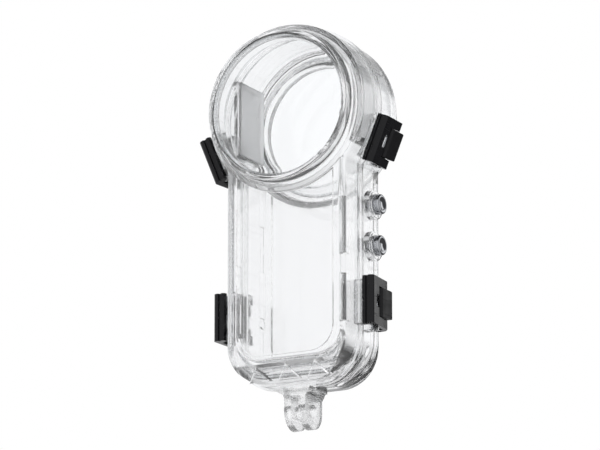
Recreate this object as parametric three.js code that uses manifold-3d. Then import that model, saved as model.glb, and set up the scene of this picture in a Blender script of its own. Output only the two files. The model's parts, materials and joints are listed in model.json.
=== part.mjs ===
import * as THREE from 'three';
import { mergeVertices } from 'three/addons/utils/BufferGeometryUtils.js';
import Module from 'manifold-3d';

// An empty clear dive housing for a slim two-lens camera: two clear half shells that close on a
// gasket, a dome port front and back, four black draw latches, two steel push buttons and a
// two-prong mount. Millimetres. X runs to the buttons' side, Y from front to back, Z up.
// The origin is the middle of the mount's pivot bore.

const wasm = await Module();
wasm.setup();

// ---- Driving dimensions -----------------------------------------------------------------------

const HEAD_Z = 121.6;              // height of the port centres above the mount's pivot
const HEAD_RADIUS = 35;
const BODY_HALF_WIDTH = 26.5;
const CASE_BOTTOM = 10.6;
const CORNER_RADIUS = 16;
const CORNER_STEPS = 12;           // sides of the rounded lower corners
const NECK_RADIUS = 6;             // fillet where the body runs into the round head
const FACE_Y = 15.4;               // front face at -15.4, back face at +15.4
const ROUND_STEPS = 60;            // sides of the port tubes
const SPLIT_Y = -2.5;              // plane where the two shells meet
const SPLIT_GAP = 0.15;            // half of the clearance between the shells
const EDGE_ROUND = 1.7;            // rounding of the front and back edges

const INNER_HEAD_RADIUS = 32;
const INNER_HALF_WIDTH = 23.8;
const INNER_BOTTOM = 19.6;
const INNER_CORNER = 11;
const INNER_FACE_Y = 12.2;

const FLANGE_GROW = 1.1;           // how far the flange stands out from the shell's side
const FLANGE_THICK = 1.45;
const GROOVE_INNER = 0.9;          // gasket groove, measured outward from the cavity's outline
const GROOVE_OUTER = 2.5;
const GROOVE_DEPTH = 1.6;
const FIT_GAP = 0.2;               // clearance all round a seal in its seat

const PORT_OUTER = 31.2;
const PORT_LIP_BORE = 29.6;
const PORT_BORE_FRONT = 28.1;
const PORT_BORE_REAR = 25.2;
const PORT_END_Y = 22.6;
const PORT_SEAT_Y = 19.9;
const DOME_RADIUS = 29.25;
const DOME_RISE = 2.8;

const RECESS_HALF_WIDTH = 21.3;    // sunk window panel on the front and back faces
const RECESS_BOTTOM = 21.1;
const RECESS_DEPTH = 1.5;
const RECESS_CORNER = 10;
const DISC_RADIUS = 34.4;          // the round head stands over the sunk panel as a disc

const CHEEK_X = 25.5;              // inner side walls of the head, outer side of the rests
const CHEEK_THICK = 1.6;
const CHEEK_LOW = -14.7;           // from the port centre
const CHEEK_HIGH = 16.4;
const TONGUE_Y = -7.6;             // how far the cheeks reach into the front shell

const SLOPE_TOP = [-20, 24];       // [y, z] ends of the slope below the front window
const SLOPE_FOOT = [-9.6, 9.9];
const RIB_SPOTS = [-13, 0, 13];
const RIB_CENTRE = [-12.6, 14.0];

const FRONT_RAILS = [[32.5, 51.6], [60, 83]];   // heights of the rails inside the side walls
const REAR_RAILS = [[42.8, 62], [80.7, 100]];
const RAIL_STUD_Z = 40.2;          // round stud below each lower rail

const TUNNEL_FROM_CORNER = 13.3;   // wrist-cord tunnel, from the centre of the lower corner's rounding
const TUNNEL_RADIUS = 1.3;
const TUNNEL_Y = 5;

const PRONG_RADIUS = 7.25;
const PRONG_THICK = 3.0;
const PRONG_GAP = 3.4;
const PIVOT_BORE = 5.3;
const MOUNT_TOP = 9.0;
const MOUNT_HALF_WIDTH = 6.0;

const LATCH_HALF_LENGTH = 9.75;
const LATCH_SPOTS = [
  { name: 'lower', tilt: 0, x: 26, z: 40.8 },
  { name: 'upper', tilt: 22.5, fromHead: 32.6 },
];
const PIVOT_AT = { y: 1.8, n: 4.4 };
const LINK_PIN_AT = { y: 6.2, n: 4.4 };
const PIN_RADIUS = 1.0;
const PIN_HOLE = 1.25;
const EAR_RADIUS = 2.4;
const EAR_FROM = 6.4;
const EAR_TO = 10.3;
const LEVER_HALF = 5.8;
const ARM_INNER = 2.7;             // half of the gap between a lever's two arms
const TAB_CORNER = 1.7;

const BUTTON_Y = 7;
const BUTTON_HEIGHTS = [83.2, 66.3];
const BOSS_RADIUS = 6;
const BOSS_END_X = 29.6;
const CAP_RADIUS = 4.05;
const CAP_END_X = 32.2;
const STEM_RADIUS = 1.35;

const CLEAR = { color: 0xe6ecef, roughness: 0.06, metalness: 0 };
const GLASS = { color: 0xf4f8fa, roughness: 0.02, metalness: 0 };
const BLACK = { color: 0x101113, roughness: 0.38, metalness: 0 };
const STEEL = { color: 0xc4c8cc, roughness: 0.18, metalness: 1 };
const SEAL = { color: 0xb9bec2, roughness: 0.55, metalness: 0 };
const REST = { color: 0xced1d3, roughness: 0.4, metalness: 0 };

// ---- Solids -----------------------------------------------------------------------------------

function solidOf(geometry) {
  const bare = geometry.clone();
  bare.deleteAttribute('normal');
  bare.deleteAttribute('uv');
  const merged = mergeVertices(bare, 1e-4);
  return new wasm.Manifold(new wasm.Mesh({
    numProp: 3,
    vertProperties: new Float32Array(merged.attributes.position.array),
    triVerts: new Uint32Array(merged.index.array),
  }));
}

function geometryOf(solid) {
  const mesh = solid.getMesh();
  const geometry = new THREE.BufferGeometry();
  geometry.setAttribute('position', new THREE.BufferAttribute(new Float32Array(mesh.vertProperties), 3));
  geometry.setIndex(new THREE.BufferAttribute(new Uint32Array(mesh.triVerts), 1));
  geometry.computeVertexNormals();
  return geometry;
}

function joined(solids) {
  return solids.reduce((whole, solid) => whole.add(solid));
}

function cut(solid, tools) {
  return tools.reduce((rest, tool) => rest.subtract(tool), solid);
}

function box(xLow, xHigh, yLow, yHigh, zLow, zHigh) {
  const geometry = new THREE.BoxGeometry(xHigh - xLow, yHigh - yLow, zHigh - zLow);
  geometry.translate((xLow + xHigh) / 2, (yLow + yHigh) / 2, (zLow + zHigh) / 2);
  return solidOf(geometry);
}

// A closed outline in the XZ plane, given as points, pushed from yLow to yHigh. round softens the
// edges of both ends without changing the outline's own size.
function slabY(points, yLow, yHigh, round = 0) {
  const shape = new THREE.Shape(points);
  const geometry = new THREE.ExtrudeGeometry(shape, {
    depth: yHigh - yLow - 2 * round,
    bevelEnabled: round > 0,
    bevelThickness: round,
    bevelSize: round,
    bevelOffset: -round,
    bevelSegments: 3,
  });
  geometry.rotateX(Math.PI / 2);
  geometry.translate(0, yHigh - round, 0);
  return solidOf(geometry);
}

// A closed outline in the YZ plane, pushed along X.
function slabX(points, xLow, xHigh) {
  const geometry = new THREE.ExtrudeGeometry(new THREE.Shape(points), {
    depth: xHigh - xLow,
    bevelEnabled: false,
  });
  geometry.rotateY(Math.PI / 2);
  geometry.rotateX(Math.PI / 2);
  geometry.translate(xLow, 0, 0);
  return solidOf(geometry);
}

// A round profile of [radius, distance] pairs, turned about the Y axis.
function turnedY(profile, steps, centreZ = 0) {
  const geometry = new THREE.LatheGeometry(profile.map(([r, y]) => new THREE.Vector2(r, y)), steps);
  geometry.translate(0, 0, centreZ);
  return geometry;
}

function arc(cx, cy, radius, from, to, steps) {
  const points = [];
  for (let i = 0; i <= steps; i += 1) {
    const angle = from + (to - from) * i / steps;
    points.push(new THREE.Vector2(cx + radius * Math.cos(angle), cy + radius * Math.sin(angle)));
  }
  return points;
}

function withoutRepeats(points) {
  return points.filter((point, i) => {
    const next = points[(i + 1) % points.length];
    return point.distanceTo(next) > 1e-3;
  });
}

// The case's outline: a round head on a body with round lower corners.
function caseOutline(radius, halfWidth, bottom, corner, neck) {
  const reach = halfWidth + neck;
  const neckZ = HEAD_Z - Math.sqrt((radius + neck) ** 2 - reach ** 2);
  const touch = Math.atan2(HEAD_Z - neckZ, reach);
  return withoutRepeats([
    ...arc(-halfWidth + corner, bottom + corner, corner, Math.PI, 1.5 * Math.PI, CORNER_STEPS),
    ...arc(halfWidth - corner, bottom + corner, corner, 1.5 * Math.PI, 2 * Math.PI, CORNER_STEPS),
    ...arc(reach, neckZ, neck, Math.PI, Math.PI - touch, 3),
    ...arc(0, HEAD_Z, radius, -touch, Math.PI + touch, 46),
    ...arc(-reach, neckZ, neck, touch, 0, 3),
  ]);
}

function outerOutline(grow) {
  return caseOutline(HEAD_RADIUS + grow, BODY_HALF_WIDTH + grow, CASE_BOTTOM - grow,
    CORNER_RADIUS + grow, NECK_RADIUS - grow);
}

function innerOutline(grow) {
  return caseOutline(INNER_HEAD_RADIUS + grow, INNER_HALF_WIDTH + grow, INNER_BOTTOM - grow,
    INNER_CORNER + grow, NECK_RADIUS - grow);
}

function roundedRectangle(halfWidth, low, high, corner) {
  return withoutRepeats([
    ...arc(-halfWidth + corner, low + corner, corner, Math.PI, 1.5 * Math.PI, 6),
    ...arc(halfWidth - corner, low + corner, corner, 1.5 * Math.PI, 2 * Math.PI, 6),
    new THREE.Vector2(halfWidth, high),
    new THREE.Vector2(-halfWidth, high),
  ]);
}

function cylinder(axis, radius, low, high, a, b, steps) {
  const geometry = new THREE.CylinderGeometry(radius, radius, high - low, steps);
  const middle = (low + high) / 2;
  if (axis === 'x') {
    geometry.rotateZ(Math.PI / 2);
    geometry.translate(middle, a, b);
  } else {
    geometry.translate(a, middle, b);
  }
  return solidOf(geometry);
}

const pieces = new THREE.Group();

function piece(name, geometry, look) {
  const mesh = new THREE.Mesh(geometry, new THREE.MeshStandardMaterial(look));
  mesh.name = name;
  return mesh;
}

// ---- Latch, in its own frame ------------------------------------------------------------------
// x is the outward distance from the case's side, y the same as the case's, z along the side.

function latchSlab(pairs, zLow, zHigh) {
  const points = pairs.map(([y, n]) => new THREE.Vector2(n, y));
  if (THREE.ShapeUtils.isClockWise(points)) {
    points.reverse();
  }
  const geometry = new THREE.ExtrudeGeometry(new THREE.Shape(points), {
    depth: zHigh - zLow,
    bevelEnabled: false,
  });
  geometry.translate(0, 0, zLow);
  return solidOf(geometry);
}

function latchRod(at, radius, zLow, zHigh, steps = 12) {
  const geometry = new THREE.CylinderGeometry(radius, radius, zHigh - zLow, steps);
  geometry.rotateX(Math.PI / 2);
  geometry.translate(at.n, at.y, (zLow + zHigh) / 2);
  return solidOf(geometry);
}

// Catch ridge on the front shell. Its front face leans back, and the hook's lip lies along it.
function catchRidge() {
  const profile = [[-7.2, -0.4], [-7.2, 3.9], [-4.8, 7.1], [-3.5, 7.1], [-2.9, 6.4], [-2.9, -0.4]];
  return latchSlab(profile, -8.9, 8.9);
}

// The two ears on the rear shell that carry a latch's pivot pin.
function ears() {
  const ear = (low, high) => joined([
    latchRod(PIVOT_AT, EAR_RADIUS, low, high),
    latchSlab([[-0.6, -0.4], [-0.6, 4.4], [4.2, 4.4], [4.2, -0.4]], low, high),
  ]);
  return joined([ear(EAR_FROM, EAR_TO), ear(-EAR_TO, -EAR_FROM)])
    .subtract(latchRod(PIVOT_AT, PIN_HOLE, -EAR_TO - 1, EAR_TO + 1));
}

// The link: a hooked front bar with a groove along it, two side strips and two arms to the link pin.
function linkSolid() {
  const profile = [
    [-8.2, 4.7], [-8.85, 5.1], [-9.1, 5.7], [-9.1, 6.5], [-8.4, 6.8], [-8.4, 7.4], [-9.1, 7.7],
    [-9.1, 8.7], [-8.8, 9.4], [-8.2, 9.85], [-7.6, 9.9], [4.9, 9.1], [5.6, 8.8], [7.4, 7.4], [7.8, 6.2],
    [7.8, 4.4], [7.3, 3.2], [6.2, 2.8], [5.1, 3.2], [4.65, 4.4], [4.8, 7.2], [-1.0, 7.7], [-5.0, 7.7],
    [-7.25, 4.7],
  ];
  const half = LATCH_HALF_LENGTH;
  const whole = latchSlab(profile, -half, half);
  const windowHalf = LEVER_HALF + 0.35;
  return cut(whole, [
    latchSlab([[-2.8, 2], [-2.8, 11], [9, 11], [9, 2]], -windowHalf, windowHalf),
    latchSlab([[-5.2, 7], [-5.2, 11], [0, 11], [0, 7]], -2.5, 2.5),
    latchRod(LINK_PIN_AT, PIN_HOLE, -half - 1, half + 1),
  ]);
}

// The lever: the pull tab that lies in the link's window, on two arms with the pins' hubs.
function leverSolid() {
  const half = LEVER_HALF;
  const tab = latchSlab([[-1.5, 8.6], [-1.2, 9.6], [-0.6, 10.1], [6.9, 10.3], [7.5, 9.9], [7.5, 9.1],
    [6.9, 8.5], [5.0, 8.2], [1.0, 8.2]], -half, half).intersect(tabOutline());
  const web = latchSlab([[0.6, 4.4], [0.6, 8.8], [6.9, 8.8], [7.4, 4.4]], -half + 1.3, half - 1.3);
  const hubs = [
    latchRod(PIVOT_AT, 1.7, -half, half),
    latchRod(LINK_PIN_AT, 1.7, -half, half),
  ];
  return cut(joined([tab, web, ...hubs]), [
    latchSlab([[-2, 2], [-2, 8.1], [9, 8.1], [9, 2]], -ARM_INNER, ARM_INNER),
    latchRod(PIVOT_AT, PIN_HOLE, -half - 1, half + 1),
    latchRod(LINK_PIN_AT, PIN_HOLE, -half - 1, half + 1),
  ]);
}

// The tab's outline seen from outside, with round corners at its free end.
function tabOutline() {
  const half = LEVER_HALF;
  const end = 7.6;
  return slabX([
    new THREE.Vector2(-2, -half),
    ...arc(end - TAB_CORNER, -half + TAB_CORNER, TAB_CORNER, -Math.PI / 2, 0, 5),
    ...arc(end - TAB_CORNER, half - TAB_CORNER, TAB_CORNER, 0, Math.PI / 2, 5),
    new THREE.Vector2(-2, half),
  ], 7, 12);
}

function pinGeometry(at, half) {
  const geometry = new THREE.CylinderGeometry(PIN_RADIUS, PIN_RADIUS, 2 * half, 10);
  geometry.rotateX(Math.PI / 2);
  geometry.translate(at.n, at.y, 0);
  return geometry;
}

// Where each of the four latches sits. The left ones are the right ones mirrored across the YZ plane.
function latchPlaces() {
  const places = [];
  for (const spot of LATCH_SPOTS) {
    for (const [sideName, side] of [['right', 1], ['left', -1]]) {
      const tilt = THREE.MathUtils.degToRad(spot.tilt);
      const x = spot.fromHead ? spot.fromHead * Math.cos(tilt) : spot.x;
      const z = spot.fromHead ? HEAD_Z - spot.fromHead * Math.sin(tilt) : spot.z;
      places.push({ name: `${spot.name}_${sideName}`, side, tilt, x, z });
    }
  }
  return places;
}

function placed(geometry, place) {
  const moved = geometry.clone();
  moved.rotateY(place.tilt);
  moved.translate(place.x, 0, place.z);
  return place.side > 0 ? moved : mirrored(moved);
}

// The same geometry on the other side of the YZ plane, with its faces still pointing out.
function mirrored(geometry) {
  const copy = geometry.index ? geometry.toNonIndexed() : geometry.clone();
  const position = copy.attributes.position;
  for (let i = 0; i < position.count; i += 3) {
    const corner = [0, 1, 2].map((k) => [position.getX(i + k), position.getY(i + k), position.getZ(i + k)]);
    [corner[0], corner[2], corner[1]].forEach(([x, y, z], k) => {
      position.setXYZ(i + k, -x, y, z);
    });
  }
  copy.deleteAttribute('uv');
  copy.deleteAttribute('normal');
  const merged = mergeVertices(copy, 1e-4);
  merged.computeVertexNormals();
  return merged;
}

function placedSolid(solid, place) {
  return solidOf(placed(geometryOf(solid), place));
}

// ---- Shells -----------------------------------------------------------------------------------

// A profile for the back of the case, or turned round for the front.
function facing(profile, side) {
  return side > 0 ? profile : profile.map(([r, y]) => [r, -y]).reverse();
}

// The tube of a port, for the shell on the given side of the case (-1 front, 1 back).
function portTube(side) {
  const end = PORT_END_Y;
  return solidOf(turnedY(facing([
    [0, 12.5], [DISC_RADIUS, 12.5], [DISC_RADIUS, 15.3], [33.9, 15.9], [32.9, 16.3], [31.9, 17.2],
    [PORT_OUTER, 18.8], [PORT_OUTER, end - 0.7], [PORT_OUTER - 0.25, end - 0.2],
    [PORT_OUTER - 0.7, end], [0, end],
  ], side), ROUND_STEPS, HEAD_Z));
}

// The space inside a port: the window's seat, then a narrower bore, then a wider mouth into the case.
function portBore(side) {
  const bore = side > 0 ? PORT_BORE_REAR : PORT_BORE_FRONT;
  return solidOf(turnedY(facing([
    [0, 8], [bore + 1.6, 8], [bore + 1.6, 12.4], [bore, 14], [bore, PORT_SEAT_Y],
    [PORT_LIP_BORE, PORT_SEAT_Y], [PORT_LIP_BORE, PORT_END_Y + 1], [0, PORT_END_Y + 1],
  ], side), ROUND_STEPS, HEAD_Z));
}

// Slim upright rails inside the side walls, between two depths, that steady the camera.
function rails(yLow, yHigh, spansBySide) {
  const parts = [];
  for (const [side, spans] of spansBySide) {
    for (const [low, high] of spans) {
      const near = INNER_HALF_WIDTH - 0.7;
      const far = INNER_HALF_WIDTH + 0.6;
      const ends = [near * side, far * side];
      parts.push(box(Math.min(...ends), Math.max(...ends), yLow, yHigh, low, high));
    }
  }
  return parts;
}

// What is taken off a face for its sunk window panel, which stops at the round head.
function sunkPanel(yLow, yHigh) {
  return slabY(roundedRectangle(RECESS_HALF_WIDTH, RECESS_BOTTOM, HEAD_Z, RECESS_CORNER), yLow, yHigh)
    .subtract(cylinder('y', DISC_RADIUS, yLow - 1, yHigh + 1, 0, HEAD_Z, ROUND_STEPS));
}

function frontShell() {
  const yEnd = SPLIT_Y - SPLIT_GAP;
  const keep = box(-60, 60, -40, yEnd, 0, 200);
  const outer = slabY(outerOutline(0), -FACE_Y, FACE_Y, EDGE_ROUND).intersect(keep);
  const flange = slabY(outerOutline(FLANGE_GROW), yEnd - FLANGE_THICK, yEnd);
  const slope = slabX([
    new THREE.Vector2(SLOPE_TOP[0], 2), new THREE.Vector2(...SLOPE_TOP),
    new THREE.Vector2(...SLOPE_FOOT), new THREE.Vector2(SLOPE_FOOT[0], 2),
  ], -40, 40);
  const cavity = slabY(innerOutline(0), -INNER_FACE_Y, INNER_FACE_Y, 1.2);
  const recess = sunkPanel(-FACE_Y - 1, -FACE_Y + RECESS_DEPTH);
  const tube = portTube(-1);
  let shell = outer.subtract(slope).add(flange);
  shell = shell.subtract(recess);
  shell = shell.add(tube);
  for (const place of latchPlaces()) {
    shell = shell.add(placedSolid(catchRidge(), place));
  }
  shell = shell.add(joined(ribs()));
  shell = cut(shell, [cavity, portBore(-1)]);
  shell = shell.add(joined(rails(-11.6, -8.4, [[-1, FRONT_RAILS], [1, FRONT_RAILS]])));
  return shell;
}

// Three triangular ribs, points up, that stand on the sloping face below the front window.
function ribs() {
  const rise = SLOPE_TOP[1] - SLOPE_FOOT[1];
  const upSlope = new THREE.Vector3(0, SLOPE_TOP[0] - SLOPE_FOOT[0], rise).normalize();
  const across = new THREE.Vector3(1, 0, 0);
  const outward = across.clone().cross(upSlope);
  const turn = new THREE.Matrix4().makeBasis(across, upSlope, outward);
  return RIB_SPOTS.map((x) => {
    const shape = new THREE.Shape([
      new THREE.Vector2(-5.2, -3.0), new THREE.Vector2(5.2, -3.0), new THREE.Vector2(0, 4.2),
    ]);
    const geometry = new THREE.ExtrudeGeometry(shape, {
      depth: 1.5,
      bevelEnabled: true,
      bevelThickness: 0.5,
      bevelSize: 0.7,
      bevelOffset: -0.7,
      bevelSegments: 1,
    });
    geometry.translate(0, 0, -1.2);
    geometry.applyMatrix4(turn);
    geometry.translate(x, RIB_CENTRE[0], RIB_CENTRE[1]);
    return solidOf(geometry);
  });
}

function rearShell() {
  const yStart = SPLIT_Y + SPLIT_GAP;
  const keep = box(-60, 60, yStart, 40, 0, 200);
  const outer = slabY(outerOutline(0), -FACE_Y, FACE_Y, EDGE_ROUND).intersect(keep);
  const flange = slabY(outerOutline(FLANGE_GROW), yStart, yStart + FLANGE_THICK);
  const cavity = slabY(innerOutline(0), -INNER_FACE_Y, INNER_FACE_Y, 1.2);
  const groove = slabY(innerOutline(GROOVE_OUTER), yStart - 1, yStart + GROOVE_DEPTH)
    .subtract(slabY(innerOutline(GROOVE_INNER), yStart - 2, yStart + GROOVE_DEPTH + 1));
  const recess = sunkPanel(FACE_Y - RECESS_DEPTH, FACE_Y + 1);
  let shell = outer.add(flange).subtract(recess).add(portTube(1));
  for (const place of latchPlaces()) {
    shell = shell.add(placedSolid(ears(), place));
  }
  for (const z of BUTTON_HEIGHTS) {
    shell = shell.add(cylinder('x', BOSS_RADIUS, 24.5, BOSS_END_X - 0.6, BUTTON_Y, z, 24));
    shell = shell.add(cylinder('x', BOSS_RADIUS - 0.6, 24.5, BOSS_END_X, BUTTON_Y, z, 24));
  }
  shell = cut(shell, [cavity, portBore(1), groove]);
  shell = shell.add(joined(rails(8.4, 11.9, [[-1, REAR_RAILS], [1, REAR_RAILS.slice(0, 1)]])));
  for (const side of [-1, 1]) {
    const ends = [(INNER_HALF_WIDTH - 0.7) * side, (INNER_HALF_WIDTH + 0.6) * side];
    shell = shell.add(cylinder('x', 1.7, Math.min(...ends), Math.max(...ends), 10.1, RAIL_STUD_Z, 14));
  }
  shell = shell.add(cheeks()).add(mount());
  for (const z of BUTTON_HEIGHTS) {
    shell = cut(shell, [
      cylinder('x', CAP_RADIUS + 0.35, 26, BOSS_END_X + 1, BUTTON_Y, z, 24),
      cylinder('x', STEM_RADIUS + 0.4, 22, 27, BUTTON_Y, z, 20),
      cylinder('x', 2.9, 24.3, 25.9, BUTTON_Y, z, 24),
    ]);
  }
  return shell.subtract(lanyardTunnel());
}

// Flat inner side walls of the head, open behind, that reach forward past the split as guide tongues.
function cheeks() {
  const parts = [];
  for (const side of [-1, 1]) {
    const wall = box(CHEEK_X, 34.4, TONGUE_Y, 12.8, HEAD_Z + CHEEK_LOW, HEAD_Z + CHEEK_HIGH)
      .intersect(cylinder('y', INNER_HEAD_RADIUS - 0.5, TONGUE_Y - 1, SPLIT_Y + 1, 0, HEAD_Z, ROUND_STEPS)
        .add(cylinder('y', INNER_HEAD_RADIUS + 0.5, SPLIT_Y + 0.9, 12.7, 0, HEAD_Z, ROUND_STEPS)));
    const pocket = box(CHEEK_X + CHEEK_THICK, 40, TONGUE_Y - 1, 11.2,
      HEAD_Z + CHEEK_LOW + CHEEK_THICK, HEAD_Z + CHEEK_HIGH - CHEEK_THICK)
      .intersect(cylinder('y', INNER_HEAD_RADIUS, TONGUE_Y - 2, 12, 0, HEAD_Z, ROUND_STEPS)
        .add(box(0, 40, TONGUE_Y - 2, SPLIT_Y + 1, 90, 150)));
    const cheek = wall.subtract(pocket);
    parts.push(side > 0 ? cheek : solidOf(mirrored(geometryOf(cheek))));
  }
  return joined(parts);
}

// The block under the case and its two prongs, with the pivot bore along X.
function mount() {
  const half = PRONG_RADIUS;
  const prongEnd = PRONG_GAP / 2 + PRONG_THICK;
  const side = withoutRepeats([
    ...arc(0, 0, half, Math.PI, 2 * Math.PI, 16),
    new THREE.Vector2(half, MOUNT_TOP),
    new THREE.Vector2(-half, MOUNT_TOP),
  ]);
  const flare = slabY([
    new THREE.Vector2(-prongEnd, 2), new THREE.Vector2(prongEnd, 2),
    new THREE.Vector2(prongEnd, 5.2), new THREE.Vector2(MOUNT_HALF_WIDTH, 7.6),
    new THREE.Vector2(MOUNT_HALF_WIDTH + 1, MOUNT_TOP), new THREE.Vector2(-MOUNT_HALF_WIDTH - 1, MOUNT_TOP),
    new THREE.Vector2(-MOUNT_HALF_WIDTH, 7.6), new THREE.Vector2(-prongEnd, 5.2),
  ], -half, half);
  const prongs = slabX(side, -prongEnd, prongEnd).add(flare);
  const neck = box(-MOUNT_HALF_WIDTH - 1, MOUNT_HALF_WIDTH + 1, SPLIT_Y + SPLIT_GAP, half, MOUNT_TOP - 1, 13);
  return cut(prongs.add(neck), [
    box(-PRONG_GAP / 2, PRONG_GAP / 2, -20, 20, -20, 5.6),
    cylinder('x', PIVOT_BORE / 2, -20, 20, 0, 0, 28),
  ]);
}

// A narrow tunnel across the solid lower corner on the buttons' side, for a wrist cord.
function lanyardTunnel() {
  const reach = TUNNEL_FROM_CORNER * Math.SQRT1_2;
  const geometry = new THREE.CylinderGeometry(TUNNEL_RADIUS, TUNNEL_RADIUS, 26, 16);
  geometry.rotateX(Math.PI / 2);
  geometry.rotateY(Math.PI / 4);
  geometry.translate(BODY_HALF_WIDTH - CORNER_RADIUS + reach, TUNNEL_Y, CASE_BOTTOM + CORNER_RADIUS - reach);
  return solidOf(geometry);
}

// ---- Ports, seals and rests -------------------------------------------------------------------

function domeGeometry(side) {
  const rimFront = PORT_END_Y - 0.5;
  const rimBack = PORT_SEAT_Y + 0.75;
  const inner = DOME_RADIUS - 1.9;
  const profile = [];
  const curve = (radius, base, rise) => {
    const sphere = (inner ** 2 + rise ** 2) / (2 * rise);
    return base + rise - sphere + Math.sqrt(sphere ** 2 - radius ** 2);
  };
  const rings = [0, 8, 15, 22, inner];
  for (const radius of rings) {
    profile.push([radius, curve(radius, rimBack, DOME_RISE)]);
  }
  profile.push([DOME_RADIUS, rimBack]);
  profile.push([DOME_RADIUS, rimFront - 0.3]);
  profile.push([DOME_RADIUS - 0.3, rimFront]);
  for (const radius of [...rings].reverse()) {
    profile.push([radius, curve(radius, rimFront, DOME_RISE)]);
  }
  return turnedY(facing(profile, side), ROUND_STEPS, HEAD_Z);
}

// The flat seal between a port's window and its seat.
function domeSeal(bore, side) {
  const inner = bore + 0.2;
  const outer = PORT_LIP_BORE - 0.2;
  const low = PORT_SEAT_Y + 0.2;
  const high = PORT_SEAT_Y + 0.55;
  const section = [[inner, low], [outer, low], [outer, high], [inner, high], [inner, low]];
  return turnedY(facing(section, side), 40, HEAD_Z);
}

function gasketSolid() {
  const low = SPLIT_Y - SPLIT_GAP + FIT_GAP;
  const high = SPLIT_Y + SPLIT_GAP + GROOVE_DEPTH - FIT_GAP;
  return slabY(innerOutline(GROOVE_OUTER - FIT_GAP), low, high)
    .subtract(slabY(innerOutline(GROOVE_INNER + FIT_GAP), low - 1, high + 1));
}

function sideRest(side) {
  const low = CHEEK_X - 1.5;
  const high = CHEEK_X - 0.3;
  const ends = [low * side, high * side];
  return box(Math.min(...ends), Math.max(...ends), TONGUE_Y + 0.2, 11.9,
    HEAD_Z + CHEEK_LOW + 0.4, HEAD_Z + CHEEK_HIGH - 0.4);
}

function footRest() {
  return slabY(roundedRectangle(15, INNER_BOTTOM + 0.3, INNER_BOTTOM + 2.1, 1.2), 0.5, 10.5);
}

// ---- Buttons ----------------------------------------------------------------------------------
// Profiles are [radius, distance] pairs turned about the button's own axis, which lies along X.

function turnedX(profile, steps, z) {
  const geometry = new THREE.LatheGeometry(profile.map(([r, x]) => new THREE.Vector2(r, x)), steps);
  geometry.rotateZ(-Math.PI / 2);
  geometry.translate(0, BUTTON_Y, z);
  return geometry;
}

function buttonCap(z) {
  return turnedX([
    [0, 22.8], [STEM_RADIUS, 22.8], [STEM_RADIUS, 23.0], [1.0, 23.05], [1.0, 23.6], [STEM_RADIUS, 23.65],
    [STEM_RADIUS, 31.2], [3.3, 31.2], [3.3, 28.6], [CAP_RADIUS, 28.6], [CAP_RADIUS, CAP_END_X - 0.5],
    [CAP_RADIUS - 0.5, CAP_END_X], [2.9, CAP_END_X], [2.4, CAP_END_X - 0.35], [0, CAP_END_X - 0.45],
  ], 20, z);
}

function buttonSeal(z) {
  const middle = 2.15;
  const section = 0.55;
  const profile = [];
  for (let i = 0; i <= 6; i += 1) {
    const angle = 2 * Math.PI * i / 6;
    profile.push([middle + section * Math.cos(angle), 25.1 + section * Math.sin(angle)]);
  }
  return turnedX(profile, 16, z);
}

class CoilCurve extends THREE.Curve {
  constructor(radius, low, high, turns, z) {
    super();
    Object.assign(this, { radius, low, high, turns, z });
  }

  getPoint(t, target = new THREE.Vector3()) {
    const angle = 2 * Math.PI * this.turns * t;
    return target.set(
      this.low + (this.high - this.low) * t,
      BUTTON_Y + this.radius * Math.cos(angle),
      this.z + this.radius * Math.sin(angle),
    );
  }
}

function buttonSpring(z) {
  const wire = 0.26;
  const section = new THREE.Shape(arc(0, 0, wire, 0, 2 * Math.PI, 5).slice(0, 5));
  return new THREE.ExtrudeGeometry(section, {
    steps: 36,
    extrudePath: new CoilCurve(2.45, 26.45, 30.8, 3.6, z),
    bevelEnabled: false,
  });
}

function buttonClip(z) {
  const ring = cylinder('x', 2.6, 23.12, 23.5, BUTTON_Y, z, 20);
  return cut(ring, [
    cylinder('x', 1.15, 22, 24, BUTTON_Y, z, 16),
    box(22, 24, BUTTON_Y - 0.8, BUTTON_Y + 0.8, z - 4, z),
  ]);
}

// ---- Assembly ---------------------------------------------------------------------------------

pieces.add(piece('rear_shell', geometryOf(rearShell()), CLEAR));
pieces.add(piece('front_shell', geometryOf(frontShell()), CLEAR));
pieces.add(piece('front_dome', domeGeometry(-1), GLASS));
pieces.add(piece('rear_dome', domeGeometry(1), GLASS));
pieces.add(piece('front_dome_seal', domeSeal(PORT_BORE_FRONT, -1), SEAL));
pieces.add(piece('rear_dome_seal', domeSeal(PORT_LIP_BORE - 1.5, 1), SEAL));
pieces.add(piece('main_gasket', geometryOf(gasketSolid()), SEAL));
pieces.add(piece('side_rest_right', geometryOf(sideRest(1)), REST));
pieces.add(piece('side_rest_left', geometryOf(sideRest(-1)), REST));
pieces.add(piece('foot_rest', geometryOf(footRest()), REST));

for (const place of latchPlaces()) {
  const label = `latch_${place.name}`;
  pieces.add(piece(`${label}_link`, placed(geometryOf(linkSolid()), place), BLACK));
  pieces.add(piece(`${label}_lever`, placed(geometryOf(leverSolid()), place), BLACK));
  const pivotPin = pinGeometry(PIVOT_AT, EAR_TO - 0.2);
  const linkPin = pinGeometry(LINK_PIN_AT, LATCH_HALF_LENGTH - 0.2);
  pieces.add(piece(`${label}_pivot_pin`, placed(pivotPin, place), STEEL));
  pieces.add(piece(`${label}_link_pin`, placed(linkPin, place), STEEL));
}

BUTTON_HEIGHTS.forEach((z, i) => {
  const label = `button_${i === 0 ? 'upper' : 'lower'}`;
  pieces.add(piece(`${label}_cap`, buttonCap(z), STEEL));
  pieces.add(piece(`${label}_spring`, buttonSpring(z), STEEL));
  pieces.add(piece(`${label}_seal`, buttonSeal(z), SEAL));
  pieces.add(piece(`${label}_clip`, geometryOf(buttonClip(z)), STEEL));
});

export default pieces;
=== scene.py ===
"""Looks for the clear dive housing: clear shells, turned windows and caps, soft latches, and a stage."""

import json
import math

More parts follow.
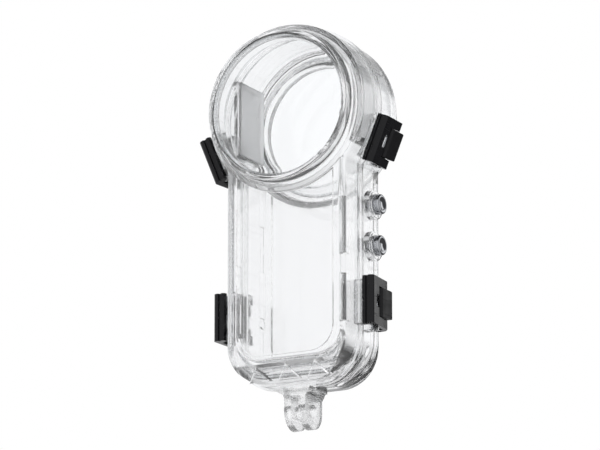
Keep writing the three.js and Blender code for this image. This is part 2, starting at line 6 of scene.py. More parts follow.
import bpy
from bpy.props import FloatProperty, FloatVectorProperty, IntProperty, PointerProperty
from bpy.types import Operator, Panel, PropertyGroup
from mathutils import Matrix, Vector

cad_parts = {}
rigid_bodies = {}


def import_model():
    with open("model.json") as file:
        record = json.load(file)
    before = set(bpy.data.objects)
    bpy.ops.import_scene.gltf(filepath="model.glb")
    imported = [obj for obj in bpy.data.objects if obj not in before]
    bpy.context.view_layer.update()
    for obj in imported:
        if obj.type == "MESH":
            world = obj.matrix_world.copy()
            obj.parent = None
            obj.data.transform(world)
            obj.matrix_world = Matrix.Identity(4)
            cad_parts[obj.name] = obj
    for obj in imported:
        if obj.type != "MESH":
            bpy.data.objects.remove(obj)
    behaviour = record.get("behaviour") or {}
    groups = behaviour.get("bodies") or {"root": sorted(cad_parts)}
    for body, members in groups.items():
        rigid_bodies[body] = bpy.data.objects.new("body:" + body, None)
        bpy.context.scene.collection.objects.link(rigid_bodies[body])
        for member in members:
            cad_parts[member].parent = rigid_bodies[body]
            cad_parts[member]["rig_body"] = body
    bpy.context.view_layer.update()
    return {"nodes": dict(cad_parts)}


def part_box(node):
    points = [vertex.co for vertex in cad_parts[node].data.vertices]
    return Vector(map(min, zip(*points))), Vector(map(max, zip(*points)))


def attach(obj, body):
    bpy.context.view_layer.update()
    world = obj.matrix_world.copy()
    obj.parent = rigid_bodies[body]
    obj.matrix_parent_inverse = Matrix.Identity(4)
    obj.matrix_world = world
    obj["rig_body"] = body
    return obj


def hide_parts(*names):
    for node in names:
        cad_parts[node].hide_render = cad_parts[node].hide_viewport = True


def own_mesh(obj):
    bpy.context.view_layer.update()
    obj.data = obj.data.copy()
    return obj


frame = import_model()

bl_info = {
    "name": "Clear dive housing",
    "version": (1, 0, 0),
    "blender": (4, 5, 0),
    "location": "3D Viewport > Sidebar > Housing",
    "description": "Builds the visible pieces of a clear dive housing on its CAD frame",
    "category": "Object",
}

LATCHES = ("lower_right", "lower_left", "upper_right", "upper_left")
BUTTONS = ("upper", "lower")
MILLIMETRE = 0.001
HAIR = 0.05 * MILLIMETRE

# The studio round the case: (height as a share of the sphere, brightness), and the black flag's side.
SKY_STOPS = (
    (0.0, 0.75), (0.15, 0.85), (0.28, 0.97), (0.38, 1.0), (0.74, 1.0), (0.81, 0.6), (0.87, 0.02), (1.0, 0.0),
)
FLAG_AZIMUTH = math.radians(150)

# The case's main outline, which the satin finish follows.
BODY_HALF_WIDTH = 26.5 * MILLIMETRE
CASE_BOTTOM = 10.6 * MILLIMETRE
FLANGE_GROW = 1.1 * MILLIMETRE
FACE_DEPTH = 15.5 * MILLIMETRE
PRONG_TOP = 7.0 * MILLIMETRE


# ---- Settings ----------------------------------------------------------------------------------

class HousingShape(PropertyGroup):
    """Sizes of the softened edges and how finely round pieces are turned."""

    latch_edge: FloatProperty(
        name="Latch edge", description="Rounding of the latch links and levers",
        default=0.00045, min=0.0, unit="LENGTH")
    seal_edge: FloatProperty(
        name="Seal edge", description="Rounding of the gasket and the rests",
        default=0.00035, min=0.0, unit="LENGTH")
    dome_steps: IntProperty(
        name="Dome steps", description="Sides of a turned window", default=144, min=24)
    cap_steps: IntProperty(
        name="Cap steps", description="Sides of a turned button cap", default=72, min=24)
    dome_rise: FloatProperty(
        name="Dome rise", description="How far a window's middle stands over its rim",
        default=0.0028, min=0.0, unit="LENGTH")
    spring_wire: FloatProperty(
        name="Spring wire", description="Diameter of the return springs' wire",
        default=0.00052, min=0.0001, unit="LENGTH")
    spring_turns: IntProperty(
        name="Spring turns", description="Whole turns of a return spring", default=4, min=1)
    smooth_angle: FloatProperty(
        name="Smooth angle", description="Edges flatter than this are shaded smooth",
        default=math.radians(33), subtype="ANGLE")


class HousingFinish(PropertyGroup):
    """How worn, wavy and clear the surfaces are."""

    clear_tint: FloatVectorProperty(
        name="Clear tint", description="Colour that light takes in the clear plastic",
        default=(0.983, 0.987, 0.99), size=3, subtype="COLOR", min=0.0, max=1.0)
    clear_ior: FloatProperty(
        name="Clear index", description="Refractive index of polycarbonate", default=1.585)
    clearness: FloatProperty(
        name="Clearness", description="Share of the light that goes through and isn't scattered",
        default=0.965, min=0.0, max=1.0)
    satin: FloatProperty(
        name="Satin", description="Roughness that the mould's texture gives the outer sides",
        default=0.12, min=0.0, max=1.0)
    window_ior: FloatProperty(
        name="Window index", description="Refractive index of the domed windows", default=1.5)
    waviness: FloatProperty(
        name="Waviness", description="Depth of the slow waves that moulding leaves",
        default=0.000012, unit="LENGTH")
    scratch_depth: FloatProperty(
        name="Scratch depth", description="Depth of the finest handling scratches",
        default=0.0000025, unit="LENGTH")


class HousingStage(PropertyGroup):
    """Camera, floor and light."""

    azimuth: FloatProperty(
        name="Azimuth", description="Direction of the camera round the case, from its front",
        default=math.radians(28), subtype="ANGLE")
    elevation: FloatProperty(
        name="Elevation", description="Height angle of the camera, from below if negative",
        default=math.radians(-14.5), subtype="ANGLE")
    distance: FloatProperty(
        name="Distance", description="From the camera to its target", default=2.0, unit="LENGTH")
    target_height: FloatProperty(
        name="Target height", description="Height of the point that the camera looks at",
        default=0.075, unit="LENGTH")
    lens_per_metre: FloatProperty(
        name="Lens per metre", description="Focal length for each metre of distance", default=150.0)
    shift: FloatVectorProperty(
        name="Shift", description="Small shift of the view, as shares of its width",
        default=(-0.0052, 0.0075), size=2)
    floor_drop: FloatProperty(
        name="Floor drop", description="How far the floor lies under the mount",
        default=1.2, unit="LENGTH")


# ---- Small helpers -----------------------------------------------------------------------------

def only(piece):
    """Selects one object and nothing else."""
    for other in bpy.context.view_layer.objects:
        other.select_set(False)
    piece.select_set(True)
    bpy.context.view_layer.objects.active = piece


def middle(node):
    low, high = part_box(node)
    return [(a + b) / 2 for a, b in zip(low, high)]


def shaded(piece, angle):
    """Smooth shading that keeps the flat faces flat, and the sharp edges sharp."""
    only(piece)
    bpy.ops.object.shade_smooth_by_angle(angle=angle)
    weights = piece.modifiers.new("flat_faces", "WEIGHTED_NORMAL")
    weights.mode = "FACE_AREA"
    weights.weight = 100
    weights.keep_sharp = True
    bpy.ops.object.modifier_apply(modifier=weights.name)


def reworked(node, name, edge=0.0, sharpest=math.radians(40), segments=3):
    """A copy of a CAD node's mesh: welded, flat areas joined, and its sharp edges rounded."""
    piece = bpy.data.objects.new(name, frame["nodes"][node].data.copy())
    bpy.context.scene.collection.objects.link(piece)
    only(piece)
    bpy.ops.mesh.customdata_custom_splitnormals_clear()
    bpy.ops.object.mode_set(mode="EDIT")
    bpy.ops.mesh.select_all(action="SELECT")
    bpy.ops.mesh.remove_doubles(threshold=0.002 * MILLIMETRE)
    bpy.ops.mesh.dissolve_limited(angle_limit=math.radians(0.4))
    if edge > 0:
        bpy.ops.mesh.select_all(action="DESELECT")
        bpy.ops.mesh.select_mode(type="EDGE")
        bpy.ops.mesh.edges_select_sharp(sharpness=sharpest)
        bpy.ops.mesh.bevel(offset=edge, segments=segments, affect="EDGES", clamp_overlap=True)
    bpy.ops.mesh.select_all(action="SELECT")
    bpy.ops.mesh.normals_make_consistent(inside=False)
    bpy.ops.object.mode_set(mode="OBJECT")
    return piece


def turned(name, along, centre, profile, steps):
    """A solid turned about the X or Y axis from (radius, distance along the axis) pairs. Both ends are
    flat, and a radius of 0 becomes a flat as fine as a hair."""
    axis = "XYZ".index(along)
    turn = (0, math.pi / 2, 0) if along == "X" else (math.pi / 2, 0, 0)
    start = list(centre)
    start[axis] = profile[0][1]
    radii = [max(radius, HAIR) for radius, _ in profile]
    bpy.ops.mesh.primitive_circle_add(
        vertices=steps, radius=radii[0], fill_type="NGON", location=start, rotation=turn)
    piece = bpy.context.object
    piece.name = name
    bpy.ops.object.mode_set(mode="EDIT")
    bpy.ops.mesh.select_all(action="SELECT")
    for index in range(1, len(profile)):
        move = [0.0, 0.0, 0.0]
        move[axis] = profile[index][1] - profile[index - 1][1]
        bpy.ops.mesh.extrude_region_move(TRANSFORM_OT_translate={"value": move})
        scale = [radii[index] / radii[index - 1]] * 3
        scale[axis] = 1.0
        hub = list(centre)
        hub[axis] = profile[index][1]
        bpy.ops.transform.resize(value=scale, center_override=hub)
    bpy.ops.mesh.select_all(action="SELECT")
    bpy.ops.mesh.normals_make_consistent(inside=False)
    bpy.ops.object.mode_set(mode="OBJECT")
    bpy.ops.object.transform_apply(location=True, rotation=True, scale=True)
    return piece


def finished(piece, node, body, material):
    """Paints a piece that stands for a CAD node, and fixes it to that node's body."""
    piece.data.name = piece.name
    piece.data.materials.clear()
    piece.data.materials.append(material)
    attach(piece, body)
    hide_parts(node)
    return piece


def body_holding(node):
    return frame["nodes"][node]["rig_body"]


# ---- Materials ---------------------------------------------------------------------------------

class Graph:
    """A node tree, with short ways to add arithmetic to it."""

    def __init__(self, tree):
        self.nodes = tree.nodes
        self.links = tree.links

    def ranged(self, value, low, high, to_low, to_high):
        spread = self.nodes.new("ShaderNodeMapRange")
        for socket, number in zip(("From Min", "From Max", "To Min", "To Max"), (low, high, to_low, to_high)):
            spread.inputs[socket].default_value = number
        self.links.new(value, spread.inputs["Value"])
        return spread.outputs["Result"]

    def math(self, operation, *values, clamp=False):
        """A math node on values that are sockets or plain numbers."""
        step = self.nodes.new("ShaderNodeMath")
        step.operation = operation
        step.use_clamp = clamp
        for value, socket in zip(values, step.inputs):
            if isinstance(value, (int, float)):
                socket.default_value = value
            else:
                self.links.new(value, socket)
        return step.outputs["Value"]

    def sum(self, first, second):
        return self.math("ADD", first, second)


class Surface(Graph):
    """A principled material whose waves, scratches and gloss come from the piece's own coordinates."""

    def __init__(self, name, colour, metallic=0.0, ior=1.5, transmission=0.0):
        self.made = bpy.data.materials.new(name)
        self.made.use_nodes = True
        super().__init__(self.made.node_tree)
        self.shader = self.nodes["Principled BSDF"]
        self.shader.inputs["Base Color"].default_value = (*colour, 1.0)
        self.shader.inputs["Metallic"].default_value = metallic
        self.shader.inputs["IOR"].default_value = ior
        self.shader.inputs["Transmission Weight"].default_value = transmission
        self.made.diffuse_color = (*colour, 1.0)
        self.place = self.nodes.new("ShaderNodeTexCoord")
        self.relief = None

    def noise(self, scale, stretch=(1, 1, 1), turn=(0, 0, 0), detail=3.0):
        """Noise with so many grains to a metre, stretched and turned."""
        mapping = self.nodes.new("ShaderNodeMapping")
        mapping.inputs["Scale"].default_value = stretch
        mapping.inputs["Rotation"].default_value = turn
        grain = self.nodes.new("ShaderNodeTexNoise")
        grain.inputs["Scale"].default_value = scale
        grain.inputs["Detail"].default_value = detail
        self.links.new(self.place.outputs["Object"], mapping.inputs["Vector"])
        self.links.new(mapping.outputs["Vector"], grain.inputs["Vector"])
        return grain.outputs["Fac"]

    def coordinates(self):
        split = self.nodes.new("ShaderNodeSeparateXYZ")
        self.links.new(self.place.outputs["Object"], split.inputs["Vector"])
        return split.outputs["X"], split.outputs["Y"], split.outputs["Z"]

    def scratches(self, scale, turn):
        """Thin straight marks: the crest lines of a noise that is drawn out along one direction."""
        drawn = self.noise(scale, stretch=(1.0, 0.035, 1.0), turn=turn, detail=2.0)
        return self.ranged(drawn, 0.645, 0.66, 0.0, 1.0)

    def bump(self, height, depth):
        """Adds a relief of that depth, in metres, over the reliefs given so far."""
        raised = self.nodes.new("ShaderNodeBump")
        raised.inputs["Strength"].default_value = 1.0
        raised.inputs["Distance"].default_value = depth
        self.links.new(height, raised.inputs["Height"])
        if self.relief:
            self.links.new(self.relief, raised.inputs["Normal"])
        self.relief = raised.outputs["Normal"]
        self.links.new(self.relief, self.shader.inputs["Normal"])

    def gloss(self, value):
        self.links.new(value, self.shader.inputs["Roughness"])

    def tone(self, value, dark, light):
        mix = self.nodes.new("ShaderNodeMix")
        mix.data_type = "RGBA"
        mix.inputs["A"].default_value = (*dark, 1.0)
        mix.inputs["B"].default_value = (*light, 1.0)
        self.links.new(value, mix.inputs["Factor"])
        self.links.new(mix.outputs["Result"], self.shader.inputs["Base Color"])


def outside(surface):
    """1 on the satin outer sides and edges of the case, and 0 on its polished faces, ports and inside."""
    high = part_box("rear_shell")[1]
    head = middle("rear_dome")[2]
    x, y, z = surface.coordinates()
    across = surface.math("SUBTRACT", surface.math("ABSOLUTE", x), BODY_HALF_WIDTH)
    below = surface.math("SUBTRACT", CASE_BOTTOM, z)
    body = surface.math("MAXIMUM", across, below)
    rise = surface.math("SUBTRACT", z, head)
    squares = surface.math("ADD", surface.math("POWER", x, 2.0), surface.math("POWER", rise, 2.0))
    from_head = surface.math("SUBTRACT", surface.math("SQRT", squares), high[2] - head - FLANGE_GROW)
    edge = surface.math("MINIMUM", body, from_head)
    satin = surface.ranged(edge, -2.4 * MILLIMETRE, -0.9 * MILLIMETRE, 0.0, 1.0)
    depth = surface.ranged(surface.math("ABSOLUTE", y), FACE_DEPTH + 4 * HAIR, FACE_DEPTH, 0.0, 1.0)
    return surface.math("MULTIPLY", satin, depth)


def clear_plastic(finish):
    """Moulded polycarbonate: satin outside, polished faces, slow waves, faint haze and fine scratches."""
    surface = Surface("clear_plastic", finish.clear_tint, ior=finish.clear_ior, transmission=finish.clearness)
    surface.bump(surface.noise(70.0, detail=2.0), finish.waviness)
    marks = surface.sum(surface.scratches(900.0, (0.3, 0.5, 0.8)), surface.scratches(700.0, (1.2, 0.2, 2.1)))
    surface.bump(marks, finish.scratch_depth)
    haze = surface.ranged(surface.noise(120.0, detail=5.0), 0.35, 0.75, 0.008, 0.03)
    satin = surface.ranged(outside(surface), 0.0, 1.0, 0.0, finish.satin)
    _, _, z = surface.coordinates()
    prongs = surface.ranged(z, CASE_BOTTOM, PRONG_TOP, 0.0, finish.satin)
    marked = surface.ranged(marks, 0.0, 1.0, 0.0, 0.12)
    surface.gloss(surface.sum(surface.sum(haze, satin), surface.sum(prongs, marked)))
    return surface.made


def dome_glass(finish):
    """Polished optical window, much cleaner than the case."""
    surface = Surface("dome_glass", (0.985, 0.992, 0.995), ior=finish.window_ior, transmission=1.0)
    marks = surface.scratches(600.0, (0.2, 0.1, 1.1))
    surface.bump(marks, 0.4 * finish.scratch_depth)
    surface.gloss(surface.ranged(surface.noise(150.0, detail=4.0), 0.4, 0.8, 0.004, 0.016))
    return surface.made


def latch_black(name, low, high):
    """Moulded black plastic with a fine grain and rubbed patches, from one roughness to another."""
    surface = Surface(name, (0.006, 0.006, 0.008), ior=1.5)
    surface.shader.inputs["Specular IOR Level"].default_value = 0.22
    surface.bump(surface.noise(2600.0, detail=2.0), 0.000003)
    surface.bump(surface.noise(140.0, detail=2.0), 0.00002)
    marks = surface.scratches(1100.0, (0.4, 0.9, 0.2))
    rubbed = surface.ranged(surface.noise(190.0, detail=6.0), 0.38, 0.72, low, high)
    surface.gloss(surface.sum(rubbed, surface.ranged(marks, 0.0, 1.0, 0.0, 0.18)))
    surface.tone(surface.noise(300.0, detail=5.0), (0.003, 0.003, 0.004), (0.007, 0.007, 0.0085))
    return surface.made


def button_steel(name, centre_y, centre_z):
    """Polished stainless steel with the fine rings of turning round the button's own axis."""
    surface = Surface(name, (0.42, 0.43, 0.45), metallic=1.0)
    _, y, z = surface.coordinates()
    flat = surface.nodes.new("ShaderNodeCombineXYZ")
    surface.links.new(y, flat.inputs["X"])
    surface.links.new(z, flat.inputs["Y"])
    reach = surface.nodes.new("ShaderNodeVectorMath")
    reach.operation = "DISTANCE"
    reach.inputs[1].default_value = (centre_y, centre_z, 0.0)
    surface.links.new(flat.outputs["Vector"], reach.inputs[0])
    rings = surface.nodes.new("ShaderNodeTexNoise")
    rings.noise_dimensions = "1D"
    rings.inputs["Scale"].default_value = 9000.0
    rings.inputs["Detail"].default_value = 1.0
    surface.links.new(reach.outputs["Value"], rings.inputs["W"])
    surface.bump(rings.outputs["Fac"], 0.0000012)
    surface.gloss(surface.ranged(surface.noise(700.0, detail=4.0), 0.35, 0.75, 0.06, 0.17))
    return surface.made


def drawn_steel():
    surface = Surface("steel", (0.58, 0.59, 0.61), metallic=1.0)
    surface.gloss(surface.ranged(surface.noise(900.0, detail=4.0), 0.3, 0.7, 0.16, 0.34))
    surface.bump(surface.noise(3000.0, detail=1.0), 0.000002)
    return surface.made


def silicone(name, dark, light, low, high, through):
    """Satin silicone with a fine skin and a little bloom. through is the share of light it lets through."""
    surface = Surface(name, light, ior=1.41, transmission=through)
    surface.bump(surface.noise(1800.0, detail=3.0), 0.000003)
    surface.gloss(surface.ranged(surface.noise(400.0, detail=4.0), 0.3, 0.7, low, high))
    surface.tone(surface.noise(160.0, detail=5.0), dark, light)
    return surface.made


def floor_paper():
    surface = Surface("floor_paper", (0.95, 0.95, 0.95))
    surface.gloss(surface.ranged(surface.noise(3.0), 0.0, 1.0, 0.75, 0.85))
    surface.bump(surface.noise(300.0), 0.0001)
    return surface.made


def paint(name):
    """A material by name, made when it is first asked for."""
    known = bpy.data.materials.get(name)
    if known and known.get("housing"):
        return known
    finish = bpy.context.scene.housing_finish
    made = {
        "clear_plastic": lambda: clear_plastic(finish),
        "dome_glass": lambda: dome_glass(finish),
        "latch_black": lambda: latch_black("latch_black", 0.1, 0.2),
        "latch_tab": lambda: latch_black("latch_tab", 0.34, 0.48),
        "steel": drawn_steel,
        "seal_silicone": lambda: silicone(
            "seal_silicone", (0.90, 0.91, 0.92), (0.95, 0.96, 0.97), 0.2, 0.35, 0.85),
        "rest_silicone": lambda: silicone(
            "rest_silicone", (0.95, 0.955, 0.96), (0.98, 0.983, 0.986), 0.28, 0.4, 0.9),
        "floor_paper": floor_paper,
    }[name]()
    made["housing"] = True
    return made


# ---- Pieces ------------------------------------------------------------------------------------

def build_shells(shape):
    for side in ("rear", "front"):
        node = f"{side}_shell"
        piece = reworked(node, f"{side}_shell_clear")
        shaded(piece, shape.smooth_angle)
        finished(piece, node, body_holding(node), paint("clear_plastic"))


def build_domes(shape):
    """Each window is turned again with a truly round outline and a soft rim."""
    for side, sign in (("rear", 1), ("front", -1)):
        node = f"{side}_dome"
        low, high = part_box(node)
        radius = (high[0] - low[0]) / 2
        inner_edge = low[1] if sign > 0 else -high[1]
        outer_top = high[1] if sign > 0 else -low[1]
        rise = shape.dome_rise
        rim = outer_top - rise
        soft = 0.35 * MILLIMETRE
        flat = radius - 1.9 * MILLIMETRE
        ball = (flat ** 2 + rise ** 2) / (2 * rise)
        rings = [flat * part for part in (0.0, 0.15, 0.3, 0.45, 0.6, 0.72, 0.84, 0.93, 1.0)]
        height = [rise - ball + math.sqrt(ball ** 2 - ring ** 2) for ring in rings]
        profile = [(ring, inner_edge + up) for ring, up in zip(rings, height)]
        profile += [(radius - soft, inner_edge), (radius, inner_edge + soft)]
        profile += [(radius, rim - soft), (radius - 0.3 * soft, rim - 0.3 * soft), (radius - soft, rim)]
        profile += [(ring, rim + up) for ring, up in zip(reversed(rings), reversed(height))]
        centre = middle(node)
        points = [(r, sign * y) for r, y in profile]
        piece = turned(f"{side}_dome_window", "Y", centre, points, shape.dome_steps)
        shaded(piece, shape.smooth_angle)
        finished(piece, node, body_holding(node), paint("dome_glass"))


def build_seals(shape):
    plans = [
        ("main_gasket", "main_gasket_ring", "seal_silicone", shape.seal_edge),
        ("front_dome_seal", "front_dome_seal_ring", "seal_silicone", 0.0),
        ("rear_dome_seal", "rear_dome_seal_ring", "seal_silicone", 0.0),
        ("side_rest_right", "side_rest_right_sheet", "rest_silicone", shape.seal_edge),
        ("side_rest_left", "side_rest_left_sheet", "rest_silicone", shape.seal_edge),
        ("foot_rest", "foot_rest_sheet", "rest_silicone", shape.seal_edge),
    ]
    for node, name, slot, edge in plans:
        piece = reworked(node, name, edge)
        shaded(piece, shape.smooth_angle)
        finished(piece, node, body_holding(node), paint(slot))


def build_latches(shape):
    for place in LATCHES:
        for part, look in (("link", "latch_black"), ("lever", "latch_tab")):
            node = f"latch_{place}_{part}"
            piece = reworked(node, f"{node}_moulded", shape.latch_edge)
            shaded(piece, shape.smooth_angle)
            finished(piece, node, body_holding(node), paint(look))
        for part in ("pivot_pin", "link_pin"):
            node = f"latch_{place}_{part}"
            piece = reworked(node, f"{node}_turned", 0.15 * MILLIMETRE, math.radians(60), 2)
            shaded(piece, math.radians(50))
            finished(piece, node, body_holding(node), paint("steel"))


def cap_profile(low, high, rim):
    """Section of a button cap from the end of its stem outwards: clip groove, skirt, rounded rim, dish."""
    mm = MILLIMETRE
    stem = 1.35 * mm
    groove_bottom = 1.0 * mm
    groove = low + 0.2 * mm
    skirt_inside = 3.3 * mm
    skirt = high - 3.6 * mm
    crown = 0.75 * mm
    profile = [(stem - 0.15 * mm, low), (stem, low + 0.12 * mm), (stem, groove)]
    profile += [(groove_bottom, groove + 0.05 * mm), (groove_bottom, groove + 0.6 * mm)]
    profile += [(stem, groove + 0.65 * mm), (stem, high - mm), (skirt_inside, high - mm)]
    profile += [(skirt_inside, skirt), (rim - 0.12 * mm, skirt), (rim, skirt + 0.15 * mm)]
    for step in range(6):
        angle = math.radians(18 * step)
        profile.append((rim - crown * (1 - math.cos(angle)), high - crown * (1 - math.sin(angle))))
    dish = 3.0 * mm
    depth = 0.65 * mm
    for step in range(7):
        part = step / 6
        profile.append((dish * (1 - part), high - depth * math.sin(part * math.pi / 2)))
    return profile


def build_buttons(shape):
    for place in BUTTONS:
        node = f"button_{place}_cap"
        low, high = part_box(node)
        centre = middle(node)
        profile = cap_profile(low[0], high[0], (high[2] - low[2]) / 2)
        piece = turned(f"{node}_turned", "X", centre, profile, shape.cap_steps)
        shaded(piece, shape.smooth_angle)
        steel = button_steel(f"button_steel_{place}", centre[1], centre[2])
        finished(piece, node, body_holding(node), steel)
        for part, slot, edge in (("seal", "seal_silicone", 0.25), ("clip", "steel", 0.08)):
            node = f"button_{place}_{part}"
            piece = reworked(node, f"{node}_ring", edge * MILLIMETRE, math.radians(50), 3)
            shaded(piece, math.radians(50))
            finished(piece, node, body_holding(node), paint(slot))


def build_springs(shape):
    """Each button's coil, wound from a round wire."""
    for place in BUTTONS:
        node = f"button_{place}_spring"
        low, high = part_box(node)
        _, y, z = middle(node)
        wire = shape.spring_wire / 2
        coil = (high[1] - low[1]) / 2 - wire
        length = high[0] - low[0] - 2 * wire
        bpy.ops.mesh.primitive_circle_add(
            vertices=10, radius=wire, fill_type="NOTHING", location=(low[0] + wire, coil, 0))
        piece = bpy.context.object
        piece.name = f"{node}_wound"
        bpy.ops.object.transform_apply(location=True, rotation=True, scale=True)
        winding = piece.modifiers.new("winding", "SCREW")
        winding.axis = "X"
        winding.iterations = shape.spring_turns
        winding.screw_offset = length / shape.spring_turns
        winding.steps = 40
        winding.render_steps = 40
        bpy.ops.object.modifier_apply(modifier=winding.name)
        bpy.ops.object.mode_set(mode="EDIT")
        bpy.ops.mesh.select_all(action="SELECT")
        bpy.ops.mesh.fill_holes(sides=0)
        bpy.ops.mesh.select_all(action="SELECT")
        bpy.ops.mesh.normals_make_consistent(inside=False)
        bpy.ops.transform.translate(value=(0, y, z))
        bpy.ops.object.mode_set(mode="OBJECT")
        shaded(piece, math.radians(50))
        finished(piece, node, "rear_case", paint("steel"))
        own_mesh(piece)


# ---- Stage -------------------------------------------------------------------------------------

def sky():
    """A white sweep all round, dark overhead so that clear edges show, and with a black flag beside the
    case that only its reflections see. The camera and diffuse light see plain white."""
    world = bpy.data.worlds.new("studio")
    bpy.context.scene.world = world
    world.use_nodes = True
    graph = Graph(world.node_tree)
    nodes = graph.nodes
    links = graph.links
    nodes.clear()
    coordinate = nodes.new("ShaderNodeTexCoord").outputs["Generated"]
    path = nodes.new("ShaderNodeLightPath").outputs

    split = nodes.new("ShaderNodeSeparateXYZ")
    links.new(coordinate, split.inputs["Vector"])
    ramp = nodes.new("ShaderNodeValToRGB")
    links.new(graph.ranged(split.outputs["Z"], -1.0, 1.0, 0.0, 1.0), ramp.inputs["Fac"])
    ramp.color_ramp.elements[0].position = SKY_STOPS[0][0]
    ramp.color_ramp.elements[1].position = SKY_STOPS[-1][0]
    for position, _ in SKY_STOPS[1:-1]:
        ramp.color_ramp.elements.new(position)
    for element, (_, level) in zip(ramp.color_ramp.elements, SKY_STOPS):
        element.color = (level, level, level * 1.01, 1.0)

    toward = nodes.new("ShaderNodeVectorMath")
    toward.operation = "DOT_PRODUCT"
    toward.inputs[1].default_value = direction(FLAG_AZIMUTH, 0.0)
    links.new(coordinate, toward.inputs[0])
    flag = graph.ranged(toward.outputs["Value"], 0.45, 0.8, 0.0, 0.9)
    reflected = graph.math("SUBTRACT", path["Is Glossy Ray"], path["Is Transmission Ray"], clamp=True)
    strength = graph.math("SUBTRACT", 1.0, graph.math("MULTIPLY", flag, reflected))

    shaped = nodes.new("ShaderNodeBackground")
    links.new(ramp.outputs["Color"], shaped.inputs["Color"])
    links.new(strength, shaped.inputs["Strength"])
    plain = nodes.new("ShaderNodeBackground")
    plain.inputs["Color"].default_value = (1.0, 1.0, 1.0, 1.0)
    mix = nodes.new("ShaderNodeMixShader")
    sees_plain = graph.math("MAXIMUM", path["Is Camera Ray"], path["Diffuse Depth"], clamp=True)
    links.new(sees_plain, mix.inputs["Fac"])
    links.new(shaped.outputs["Background"], mix.inputs[1])
    links.new(plain.outputs["Background"], mix.inputs[2])
    out = nodes.new("ShaderNodeOutputWorld")
    links.new(mix.outputs["Shader"], out.inputs["Surface"])


def direction(azimuth, elevation):
    """From the case towards a camera or a lamp."""
    return (
        math.sin(azimuth) * math.cos(elevation),
        -math.cos(azimuth) * math.cos(elevation),
        math.sin(elevation),
    )


def lamp(name, stage, azimuth, elevation, size, power):
    toward = direction(math.radians(azimuth), math.radians(elevation))
    reach = 0.9
    place = [reach * part for part in toward]
    place[2] += stage.target_height
    bpy.ops.object.light_add(type="AREA", location=place)
    made = bpy.context.object
    made.name = name
    made.data.size = size
    made.data.energy = power
    made.rotation_euler = (math.radians(90 - elevation), 0, math.radians(azimuth))
    made.visible_camera = False
    made.visible_transmission = False


def build_stage(stage):
    sky()
    lamp("key_softbox", stage, -75, 40, 0.5, 4.0)
    lamp("edge_softbox", stage, 148, 18, 0.35, 0.5)
    bpy.ops.mesh.primitive_plane_add(size=20.0, location=(0, 0, -stage.floor_drop))
    floor = bpy.context.object
    floor.name = "floor"
    floor.data.materials.append(paint("floor_paper"))
    floor.visible_transmission = False
    floor.visible_glossy = False
    toward = direction(stage.azimuth, stage.elevation)
    place = [stage.distance * part for part in toward]
    place[2] += stage.target_height
    bpy.ops.object.camera_add(location=place, rotation=(math.pi / 2 - stage.elevation, 0, stage.azimuth))
    camera = bpy.context.object
    camera.name = "view_camera"
    camera.data.lens = stage.lens_per_metre * stage.distance
    camera.data.clip_end = 30.0
    camera.data.shift_x, camera.data.shift_y = stage.shift
    scene = bpy.context.scene
    scene.camera = camera
    scene.view_settings.view_transform = "Standard"
    scene.cycles.max_bounces = 24
    scene.cycles.transmission_bounces = 24
    scene.cycles.transparent_max_bounces = 16


# ---- Operators ---------------------------------------------------------------------------------

class HOUSING_OT_shells(Operator):
    """Rework the two clear half shells"""

    bl_idname = "housing.shells"
    bl_label = "Clear shells"

    def execute(self, context):
        build_shells(context.scene.housing_shape)
        return {"FINISHED"}


class HOUSING_OT_domes(Operator):
    """Turn the front and the rear window"""

    bl_idname = "housing.domes"
    bl_label = "Domed windows"

    def execute(self, context):
        build_domes(context.scene.housing_shape)
        return {"FINISHED"}


class HOUSING_OT_seals(Operator):
    """Soften the gasket and the camera's rests, and smooth the window seals"""

    bl_idname = "housing.seals"
    bl_label = "Seals and rests"

    def execute(self, context):
        build_seals(context.scene.housing_shape)
        return {"FINISHED"}


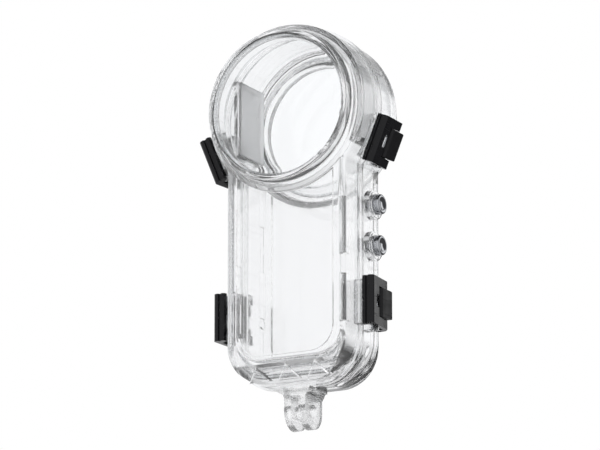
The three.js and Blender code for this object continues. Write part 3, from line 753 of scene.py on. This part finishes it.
class HOUSING_OT_latches(Operator):
    """Soften the links, levers and pins of the four latches"""

    bl_idname = "housing.latches"
    bl_label = "Latches"

    def execute(self, context):
        build_latches(context.scene.housing_shape)
        return {"FINISHED"}


class HOUSING_OT_buttons(Operator):
    """Turn the caps and soften the seal rings and clips of the push buttons"""

    bl_idname = "housing.buttons"
    bl_label = "Push buttons"

    def execute(self, context):
        build_buttons(context.scene.housing_shape)
        return {"FINISHED"}


class HOUSING_OT_springs(Operator):
    """Wind the return springs of the push buttons"""

    bl_idname = "housing.springs"
    bl_label = "Button springs"

    def execute(self, context):
        build_springs(context.scene.housing_shape)
        return {"FINISHED"}


class HOUSING_OT_stage(Operator):
    """Set up the floor, the light and the camera"""

    bl_idname = "housing.stage"
    bl_label = "Stage"

    def execute(self, context):
        build_stage(context.scene.housing_stage)
        return {"FINISHED"}


STEPS = ("shells", "domes", "seals", "latches", "buttons", "springs", "stage")


class HOUSING_PT_panel(Panel):
    """All the settings, and a button for each step"""

    bl_label = "Dive housing"
    bl_idname = "HOUSING_PT_panel"
    bl_space_type = "VIEW_3D"
    bl_region_type = "UI"
    bl_category = "Housing"

    def draw(self, context):
        for group in (context.scene.housing_shape, context.scene.housing_finish, context.scene.housing_stage):
            for name in group.__annotations__:
                self.layout.prop(group, name)
        for step in STEPS:
            self.layout.operator(f"housing.{step}")


CLASSES = (
    HousingShape, HousingFinish, HousingStage, HOUSING_OT_shells, HOUSING_OT_domes, HOUSING_OT_seals,
    HOUSING_OT_latches, HOUSING_OT_buttons, HOUSING_OT_springs, HOUSING_OT_stage, HOUSING_PT_panel,
)


def register():
    for made in CLASSES:
        bpy.utils.register_class(made)
    bpy.types.Scene.housing_shape = PointerProperty(type=HousingShape)
    bpy.types.Scene.housing_finish = PointerProperty(type=HousingFinish)
    bpy.types.Scene.housing_stage = PointerProperty(type=HousingStage)


def unregister():
    del bpy.types.Scene.housing_stage
    del bpy.types.Scene.housing_finish
    del bpy.types.Scene.housing_shape
    for made in reversed(CLASSES):
        bpy.utils.unregister_class(made)


def main():
    register()
    for step in STEPS:
        getattr(bpy.ops.housing, step)()


if __name__ == "__main__":
    main()
